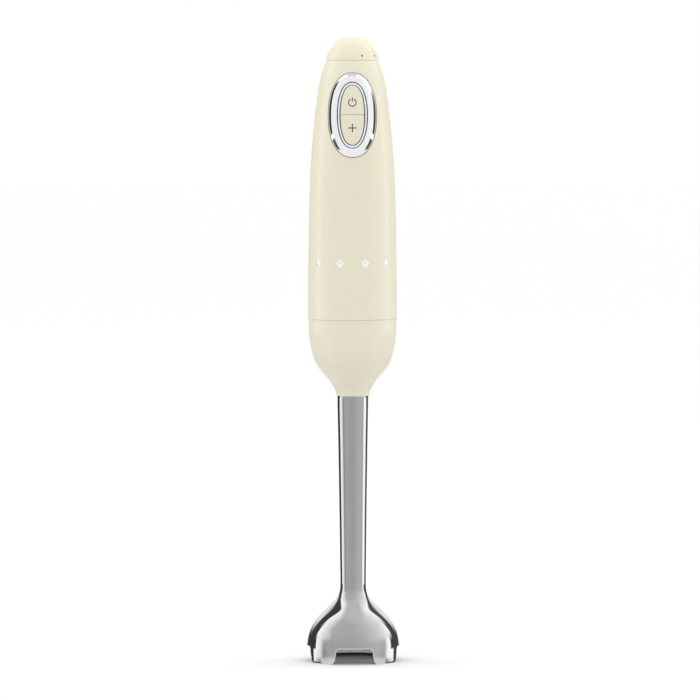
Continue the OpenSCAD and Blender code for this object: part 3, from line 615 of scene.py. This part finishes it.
# ------------------------------------------------------------------ trim studs
def studs():
    V, F = [], []
    for i in range(4):
        a0 = math.radians((i - 1.5) * 32)
        out = []
        m = 5
        corners = np.array([(-2.9, 0), (0, -3.1), (2.9, 0), (0, 3.1)])
        loop = []
        for k in range(4):
            A, B, C = corners[k - 1], corners[k], corners[(k + 1) % 4]
            p, q = B + (A - B) * 0.14, B + (C - B) * 0.14
            for t in np.linspace(0, 1, m):
                loop.append((1 - t) ** 2 * p + 2 * t * (1 - t) * B + t * t * q)
        loop = np.array(loop); n = len(loop)
        levels = [(1.0, -0.25), (1.0, 0.10), (0.97, 0.22), (0.90, 0.32), (0.45, 0.50), (0.30, 0.535), (0.12, 0.55)]
        base = len(V)
        for s, h in levels:
            for (x, z) in loop * s:
                zz = 261.5 + z
                R = float(rb(zz)) + h
                th = a0 + x / 29.6
                V.append((R * math.sin(th), -R * math.cos(th), zz))
        R = float(rb(261.5))
        V.append(((R + 0.55) * math.sin(a0), -(R + 0.55) * math.cos(a0), 261.5)); top = len(V) - 1
        V.append(((R - 0.25) * math.sin(a0), -(R - 0.25) * math.cos(a0), 261.5)); bot = len(V) - 1
        for q in range(len(levels) - 1):
            for k in range(n):
                l = (k + 1) % n
                F.append((base + q * n + k, base + q * n + l, base + (q + 1) * n + l, base + (q + 1) * n + k))
        e = base + (len(levels) - 1) * n
        for k in range(n):
            l = (k + 1) % n
            F.append((e + k, e + l, top)); F.append((base + l, base + k, bot))
    ob = new_mesh("trim_stud_row", V, F, [M["satin"]])
    weld(ob, 1e-8); sharpen(ob, 55)
    done(ob, "motor_unit", "bright_chrome", "trim_studs")


studs()


# ------------------------------------------------------------------ cord gland
def gland():
    zg = 366.0
    prof = [(3.6, 17.0), (7.6, 17.0), (7.6, 19.6), (6.02, 19.6), (6.02, 23.2)]
    out = [(8.4, 22.4), (8.4, 24.0), (8.35, 25.2), (8.15, 26.4), (7.75, 27.4), (7.1, 28.1), (6.3, 28.4), (5.2, 28.4), (4.6, 28.25), (4.1, 27.9), (3.7, 27.2), (3.6, 26.4)]
    prof = prof + [(6.02, 22.4)] + out
    prof = [(3.6, 17.0), (7.6, 17.0), (7.6, 19.6), (6.02, 19.6), (6.02, 21.2)] + [(8.3, 21.2)] + out
    ob = lathe("cord_gland_collar", prof, [M["cream"]], 128, axis="y", origin=(0, 0, zg))
    sharpen(ob, 42)
    done(ob, "motor_unit", "cream_gloss", "cord_gland")


gland()


# ------------------------------------------------------------------ collar of the arm
def collar():
    st = SEAM + 0.18
    o = [tuple(p) for p in collar_prof if 174.6 < p[1] < SEAM - 0.6]
    top = [(26.8, st), (29.12, st)] + [(29.12 + 0.3 * math.sin(a), st - 0.3 + 0.3 * math.cos(a)) for a in np.linspace(0.3, math.pi / 2, 5)]
    bot = [(10.82, 174.45), (10.75, 174.18), (10.55, 174.02), (9.95, 174.0)]
    inn = [(9.95, 207.8), (13.5, 207.8), (13.5, 194.9), (13.9, 194.5), (21.0, 194.5), (22.2, 195.3), (23.6, 198.5), (24.7, 202.5), (25.4, 206.5), (26.0, 209.6), (26.4, 213), (26.7, 219)]
    ob = lathe("arm_collar_shell", top + o + bot + inn, [M["cream"]], 224)
    sharpen(ob, 42)
    done(ob, "blending_arm", "cream_gloss", "arm_collar")


collar()


# ------------------------------------------------------------------ stem and bell, one sheet of steel with a rolled edge
def bell():
    T = 1.0
    r0 = 30.7
    turn = math.radians(1.5)
    a, h = 9.8, 10.2
    # half of a notch: x from the middle outwards, z
    half = [(0, h), (a * 0.5, h), (a, h)]
    half += [(a + 2.3 * math.cos(t), h - 2.3 + 2.3 * math.sin(t)) for t in np.radians([75, 60, 45, 30, 15, 0])]
    half += [(a + 2.45, h * 0.62), (a + 2.75, h * 0.42), (a + 3.15, h * 0.25), (a + 3.75, h * 0.11), (a + 4.6, 0.03)]
    half = np.array(half)
    u = r0 * np.arcsin(half[:, 0] / r0)
    q = math.pi * r0 / 4                       # middle of the arc between two notches
    path = np.r_[np.c_[u, half[:, 1]], [[u[-1] + 0.8, 0.0], [u[-1] + 2.2, 0.0], [q, 0.0]]]
    d = np.r_[0, np.cumsum(np.linalg.norm(np.diff(path, axis=0), axis=1))]
    t = np.linspace(0, d[-1], 74)
    P = np.c_[np.interp(t, d, path[:, 0]), np.interp(t, d, path[:, 1])]
    for _ in range(6):                          # take the corners off the outline
        P[1:-1] = 0.25 * P[:-2] + 0.5 * P[1:-1] + 0.25 * P[2:]
    tan = np.gradient(P, axis=0); tan /= np.linalg.norm(tan, axis=1)[:, None]
    nrm = np.c_[-tan[:, 1], tan[:, 0]]          # into the metal (up, and outwards)
    nrm = np.where((nrm[:, 1] < 0)[:, None], -nrm, nrm)
    side = np.abs(nrm[:, 1]) < 0.15
    B = P + nrm * (T / 2)
    B[:, 1] = np.maximum(B[:, 1], T / 2)
    B[0, 0] = 0; B[-1, 0] = q
    B[:, 0] = np.maximum.accumulate(B[:, 0] + np.arange(len(B)) * 1e-5)
    th_h, z_h = B[:, 0] / r0, B[:, 1]
    n_h = np.c_[-nrm]                           # towards the opening
    th, zb, no = [], [], []
    for k in range(4):
        base = -math.pi / 2 + turn + k * math.pi / 2
        left = [(base - th_h[i], z_h[i], (-n_h[i][0], n_h[i][1])) for i in range(len(th_h) - 1, 0, -1)]
        right = [(base + th_h[i], z_h[i], (n_h[i][0], n_h[i][1])) for i in range(0, len(th_h) - 1)]
        if k == 2:                              # the back of the rim is whole
            left = [(a_, T / 2, (0.0, -1.0)) for a_, _, _ in left]
            right = [(a_, T / 2, (0.0, -1.0)) for a_, _, _ in right]
        for w in left + right:
            th.append(w[0]); zb.append(w[1]); no.append(w[2])
    th, zb, no = np.array(th), np.array(zb), np.array(no)
    n = len(th)
    zt = 14.5
    prof = stem_prof[stem_prof[:, 1] > zt]      # top to zt
    zz, rr_ = stem_prof[::-1, 1], stem_prof[::-1, 0]
    zz = np.maximum.accumulate(zz)
    R = lambda z: np.interp(z, zz, rr_)
    # offset profile for the inside
    tg = np.gradient(stem_prof, axis=0); tg /= np.linalg.norm(tg, axis=1)[:, None]
    nn = np.c_[-tg[:, 1], tg[:, 0]]; nn = np.where((nn[:, 0] < 0)[:, None], -nn, nn)
    inner = stem_prof - nn * T
    iz, ir = inner[::-1, 1], inner[::-1, 0]
    iz = np.maximum.accumulate(iz)
    Ri = lambda z: np.interp(z, iz, ir)
    rows, kind = [], []
    rows.append(("c", 9.9, 207.8)); rows.append(("c", 9.9, 174.5)); rows.append(("c", 9.95, 174.06)); rows.append(("c", 10.25, 173.98)); rows.append(("c", 10.3, 173.7))
    for r, z in prof:
        if z < 173.2:
            rows.append(("c", r, z))
    pts = [np.c_[r * np.cos(th), r * np.sin(th), np.full(n, z)] for _, r, z in rows]
    for s in np.linspace(1, 0, 26)[1:]:
        z = zb + (zt - zb) * s
        pts.append(np.c_[R(z) * np.cos(th), R(z) * np.sin(th), z])
    n_out = len(pts)
    # rolled edge: half a circle between the two skins
    rm = R(zb) - T / 2
    for al in np.linspace(0, math.pi, 8)[1:-1]:
        c, s = math.cos(al), math.sin(al)
        r = rm + T / 2 * c
        dth = no[:, 0] * T / 2 * s / r0
        pts.append(np.c_[r * np.cos(th + dth), r * np.sin(th + dth), zb + no[:, 1] * T / 2 * s])
    n_lip = len(pts)
    for s in np.linspace(0, 1, 18):
        z = zb + (zt - zb) * s
        ri = R(z) - T
        pts.append(np.c_[ri * np.cos(th), ri * np.sin(th), z])
    for z in np.r_[np.linspace(zt, 52, 60)[1:], np.linspace(52, 172.5, 26)[1:]]:
        ri = float(Ri(z))
        pts.append(np.c_[ri * np.cos(th), ri * np.sin(th), np.full(n, z)])
    for r, z in ((8.9, 176), (8.9, 209), (13, 209), (13, 207.8)):
        pts.append(np.c_[r * np.cos(th), r * np.sin(th), np.full(n, z)])
    V = np.concatenate(pts); F = []; fm = []
    m = len(pts)
    for i in range(m):
        j = (i + 1) % m
        for k in range(n):
            l = (k + 1) % n
            F.append((i * n + k, i * n + l, j * n + l, j * n + k))
            # faces inside the bell get the inside steel, whose darker colour is partly painted shade
            half_lip = n_out + 2 if abs((math.degrees(th[k]) - 90 + 180) % 360 - 180) > 50 else n_out - 1
            # the back of the lip gets the near-black rim steel, painted shade seen through the front notch
            back = abs((math.degrees(th[k]) - 90 + 180) % 360 - 180) < 50
            fm.append(2 if back and n_out - 1 <= i <= n_lip + 1 else 1 if half_lip <= i < m - 5 else 0)
    ob = new_mesh("stem_and_bell_steel", V, F, [M["steel"], M["steel_in"], M["rim_in"]], fm)
    weld(ob, 1e-7); sharpen(ob, 50)
    done(ob, "blending_arm", "polished_steel", "stem_and_bell")


bell()


# ------------------------------------------------------------------ blade, with ground edges and rounded bends
def blade():
    V, F = [], []
    t0 = 1.4
    zc = 16 - t0 / 2

    def wing(length, w, bend, rot):
        nl, nw = 26, 15
        base = len(V)
        xs = np.linspace(0, 1, nl)
        grid = {}
        for side in (1, -1):
            for i, s in enumerate(xs):
                L = 3.0 + (length - 3.0) * s
                # width tapers to a swept tip
                lead = -w * 0.5 * (1 - 0.55 * s**1.6) * (1 - 0.25 * max(0, s - 0.85) / 0.15)
                trail = w * 0.46 * (1 - 0.62 * s**1.3) * (1 - 0.4 * max(0, s - 0.85) / 0.15)
                # the bend is an arc between 5 and 9 mm from the axis
                b = math.radians(bend)
                t = min(max((L - 5) / 4, 0), 1)
                a = b * t
                if L <= 5:
                    px, pz = L, 0.0
                elif L <= 9:
                    Rr = 4 / b
                    px, pz = 5 + Rr * math.sin(a), Rr * (1 - math.cos(a))
                else:
                    Rr = 4 / b
                    px = 5 + Rr * math.sin(b) + (L - 9) * math.cos(b)
                    pz = Rr * (1 - math.cos(b)) + (L - 9) * math.sin(b)
                for j in range(nw):
                    v = j / (nw - 1)
                    y = lead + (trail - lead) * v
                    dl = (y - lead)
                    grind = min(1.0, 0.06 + dl / 2.6) if s > 0.12 else 1.0
                    round_ = 1 - 0.5 * max(0, (v - 0.9) / 0.1) ** 2
                    hh = t0 / 2 * (grind if side > 0 else 1.0) * round_ * (1 if s < 0.97 else 0.8)
                    if side > 0:
                        hz = -t0 / 2 + t0 * (grind if s > 0.12 else 1.0) * round_
                    else:
                        hz = -t0 / 2
                    x = px - hz * math.sin(a); z = pz + hz * math.cos(a)
                    c, sn = math.cos(rot), math.sin(rot)
                    grid[(side, i, j)] = len(V)
                    V.append((x * c - y * sn, x * sn + y * c, zc + z))
        for side in (1, -1):
            for i in range(nl - 1):
                for j in range(nw - 1):
                    q = (grid[(side, i, j)], grid[(side, i + 1, j)], grid[(side, i + 1, j + 1)], grid[(side, i, j + 1)])
                    F.append(q if side > 0 else q[::-1])
        for i in range(nl - 1):
            for j in (0, nw - 1):
                q = (grid[(1, i, j)], grid[(-1, i, j)], grid[(-1, i + 1, j)], grid[(1, i + 1, j)])
                F.append(q if j == 0 else q[::-1])
        for i in (0, nl - 1):
            for j in range(nw - 1):
                q = (grid[(1, i, j)], grid[(1, i, j + 1)], grid[(-1, i, j + 1)], grid[(-1, i, j)])
                F.append(q if i == 0 else q[::-1])

    wing(22.4, 10, 17, 0)
    wing(22.4, 10, -8, math.pi)
    wing(18.0, 9, 22, math.pi / 2)
    wing(18.0, 9, 22, -math.pi / 2)
    ob = new_mesh("blade_wings", V, F, [M["blade"]])
    weld(ob, 1e-8); sharpen(ob, 30)
    done(ob, "blade_shaft", "polished_steel", "blade")
    hub = lathe("blade_hub_disc", [(2.45, 14.58), (5.6, 14.58), (5.95, 14.75), (6.1, 15.1), (6.1, 15.5), (5.95, 15.85), (5.6, 16.02), (4.62, 16.02), (2.45, 16.0)],
                [M["blade"]], 72)
    sharpen(hub, 40)
    done(hub, "blade_shaft", "polished_steel")


blade()


# ------------------------------------------------------------------ studio
def studio():
    fl = bpy.data.meshes.new("studio_floor")
    s = 14.0
    fl.from_pydata([(-s, -s, 0), (s, -s, 0), (s, s, 0), (-s, s, 0)], [], [(0, 1, 2, 3)])
    fo = bpy.data.objects.new("studio_floor", fl)
    SC.collection.objects.link(fo)
    m = bpy.data.materials.new("studio_floor_white"); m.use_nodes = True
    nt = m.node_tree; b = nt.nodes["Principled BSDF"]
    n = nt.nodes.new("ShaderNodeTexNoise"); n.inputs["Scale"].default_value = 3
    r = nt.nodes.new("ShaderNodeValToRGB")
    r.color_ramp.elements[0].color = (0.66, 0.66, 0.664, 1); r.color_ramp.elements[1].color = (0.67, 0.67, 0.67, 1)
    nt.links.new(n.outputs[0], r.inputs[0]); nt.links.new(r.outputs[0], b.inputs["Base Color"])
    b.inputs["Roughness"].default_value = 0.9; b.inputs["Specular IOR Level"].default_value = 0.1
    fl.materials.append(m)
    fo.location.z = -0.00002
    fo.visible_glossy = False

    w = bpy.data.worlds.new("studio"); SC.world = w; w.use_nodes = True
    nt = w.node_tree; N = nt.nodes; L = nt.links; N.clear()
    out = N.new("ShaderNodeOutputWorld"); bg = N.new("ShaderNodeBackground"); L.new(bg.outputs[0], out.inputs[0])
    tc = N.new("ShaderNodeTexCoord"); sx = N.new("ShaderNodeSeparateXYZ"); L.new(tc.outputs["Generated"], sx.inputs[0])

    def mth(op, a, b=None, c=None):
        n = N.new("ShaderNodeMath"); n.operation = op
        for i, v in enumerate((a, b, c)):
            if v is None:
                continue
            if isinstance(v, (int, float)):
                n.inputs[i].default_value = v
            else:
                L.new(v, n.inputs[i])
        return n.outputs[0]

    neg = mth("MULTIPLY", sx.outputs[1], -1.0)
    az = mth("ARCTAN2", sx.outputs[0], neg)                   # 0 towards the front, + to the right
    t = mth("MULTIPLY_ADD", az, 1 / (2 * math.pi), 0.5)
    K = 0.4                                                   # ramp values are stored at this share

    def ramp_of(stops, fac):
        r = N.new("ShaderNodeValToRGB"); L.new(fac, r.inputs[0])
        cr = r.color_ramp; cr.interpolation = "LINEAR"
        cr.elements[0].position = 0.0; cr.elements[0].color = (stops[0][1] * K,) * 3 + (1,)
        cr.elements[1].position = 1.0; cr.elements[1].color = (stops[-1][1] * K,) * 3 + (1,)
        for a, v in stops[1:-1]:
            e = cr.elements.new((a + 180) / 360); e.color = (v * K,) * 3 + (1,)
        sc = N.new("ShaderNodeVectorMath"); sc.operation = "SCALE"; L.new(r.outputs[0], sc.inputs[0]); sc.inputs["Scale"].default_value = 1 / K
        return sc.outputs[0]

    def smooth(v, a, b):
        m = N.new("ShaderNodeMapRange"); m.interpolation_type = "SMOOTHSTEP"; L.new(v, m.inputs[0])
        m.inputs["From Min"].default_value = a; m.inputs["From Max"].default_value = b
        return m.outputs[0]

    def mixc(f, a, b):
        m = N.new("ShaderNodeMix"); m.data_type = "RGBA"; L.new(f, m.inputs[0])
        for i, v in ((6, a), (7, b)):
            if isinstance(v, float):
                m.inputs[i].default_value = (v, v, v, 1)
            else:
                L.new(v, m.inputs[i])
        return m.outputs[2]

    t = mth("MULTIPLY_ADD", az, 1 / (2 * math.pi), 0.5)
    low = [(-180, 1.0), (-162, 1.0), (-156, 0.05), (-116, 0.05), (-113, 1.55), (-106, 1.28), (-98, 1.17), (-88, 1.02), (-83, 0.55), (-77, 0.36), (-69, 0.45), (-60, 0.53),
           (-20, 0.49), (0, 0.47), (30, 0.54), (62, 0.61), (78, 0.55), (86, 0.60), (91, 1.20), (98, 1.42), (116, 1.45), (119, 0.10), (154, 0.10), (159, 1.0), (180, 1.0)]
    mid = [(-180, 1.0), (-158, 1.05), (-153, 0.06), (-107, 0.05), (-104, 1.50), (-97, 1.25), (-88, 1.05), (-82, 0.62), (-76, 0.44), (-68, 0.50),
           (-28, 0.51), (0, 0.50), (30, 0.56), (62, 0.63), (78, 0.60), (87, 0.66), (92, 1.15), (98, 1.40), (105, 1.45), (108, 0.07), (150, 0.08), (155, 1.05), (180, 1.0)]
    upper = [(-180, 1.0), (-142, 1.05), (-137, 0.07), (-112, 0.05), (-109, 1.48), (-98, 1.25), (-88, 1.08), (-76, 0.92), (-66, 0.74), (-58, 0.54), (-50, 0.57),
             (-20, 0.55), (0, 0.55), (24, 0.60), (42, 0.68), (60, 0.78), (78, 0.90), (92, 1.05), (108, 1.28), (115, 1.45), (119, 0.08), (138, 0.08), (143, 1.05), (180, 1.0)]
    high = [(-180, 1.0), (-153, 1.0), (-148, 0.07), (-118, 0.05), (-115, 1.42), (-108, 1.28), (-98, 1.12), (-86, 0.94), (-76, 0.74), (-68, 0.58), (-60, 0.60),
            (-28, 0.57), (0, 0.58), (32, 0.65), (60, 0.76), (89, 0.90), (104, 1.05), (118, 1.25), (124, 1.42), (128, 0.09), (147, 0.10), (152, 1.0), (180, 1.0)]
    under = [(-180, 0.9), (-153, 0.9), (-148, 0.08), (-90, 0.08), (-85, 0.9), (85, 0.9), (90, 0.08), (148, 0.08), (153, 0.9), (180, 0.9)]
    r0 = mixc(smooth(sx.outputs[2], -0.080, -0.058), ramp_of(low, t), ramp_of(mid, t))
    r1 = mixc(smooth(sx.outputs[2], 0.06, 0.36), r0, ramp_of(upper, t))
    r2 = mixc(smooth(sx.outputs[2], 0.42, 0.74), r1, ramp_of(high, t))
    az_c = mixc(smooth(sx.outputs[2], -0.127, -0.142), r2, ramp_of(under, t))
    c1 = mixc(smooth(sx.outputs[2], 0.90, 0.985), az_c, 0.69)
    c2 = mixc(smooth(sx.outputs[2], -0.45, -0.7), c1, 0.9)
    mix2_out = c2
    lp = N.new("ShaderNodeLightPath")
    mix3 = N.new("ShaderNodeMix"); mix3.data_type = "RGBA"; L.new(lp.outputs["Is Glossy Ray"], mix3.inputs[0])
    # what lights the matt surfaces: brighter from above
    e_up = mth("MULTIPLY_ADD", mth("MAXIMUM", sx.outputs[2], -0.2), 1.42, 0.575)
    cmb = N.new("ShaderNodeCombineColor")
    for i in range(3):
        L.new(e_up, cmb.inputs[i])
    L.new(cmb.outputs[0], mix3.inputs[6]); L.new(mix2_out, mix3.inputs[7])
    L.new(mixc(lp.outputs["Is Camera Ray"], mix3.outputs[2], 1.0), bg.inputs[0]); bg.inputs[1].default_value = 1.0

    def area(name, loc, target, size, power):
        l = bpy.data.lights.new(name, "AREA"); l.energy = power; l.size = size; l.shape = "DISK"
        o = bpy.data.objects.new(name, l); SC.collection.objects.link(o)
        o.location = loc
        o.rotation_euler = (Vector(target) - Vector(loc)).to_track_quat("-Z", "Y").to_euler()
        o.visible_glossy = False; o.visible_camera = False
        return o

    area("soft_left", (-2.5, 1.0, 0.7), (0, 0, 0.25), 1.5, 15.0)
    area("soft_right", (2.5, 1.0, 0.7), (0, 0, 0.25), 1.5, 18.0)

    cam = bpy.data.cameras.new("camera"); co = bpy.data.objects.new("camera", cam); SC.collection.objects.link(co)
    cam.sensor_width = 36; cam.lens = 294.2
    co.location = (-0.0018, -3.74, 0.392)
    tgt = Vector((-0.0018, 0, 0.2039))
    from mathutils import Quaternion
    co.rotation_euler = ((tgt - co.location).to_track_quat("-Z", "Y") @ Quaternion((0, 0, 1), -0.0017)).to_euler()
    cam.clip_start, cam.clip_end = 0.05, 60
    SC.camera = co
    SC.view_settings.view_transform = "Standard"
    SC.view_settings.look = "None"


studio()

# the steel's small reflections show the studio, and not the closed body straight above the bell
for o in bpy.data.objects:
    if o.type == "MESH" and o.name != "studio_floor" and min(v.co.z for v in o.data.vertices) > 0.165:
        o.visible_glossy = False
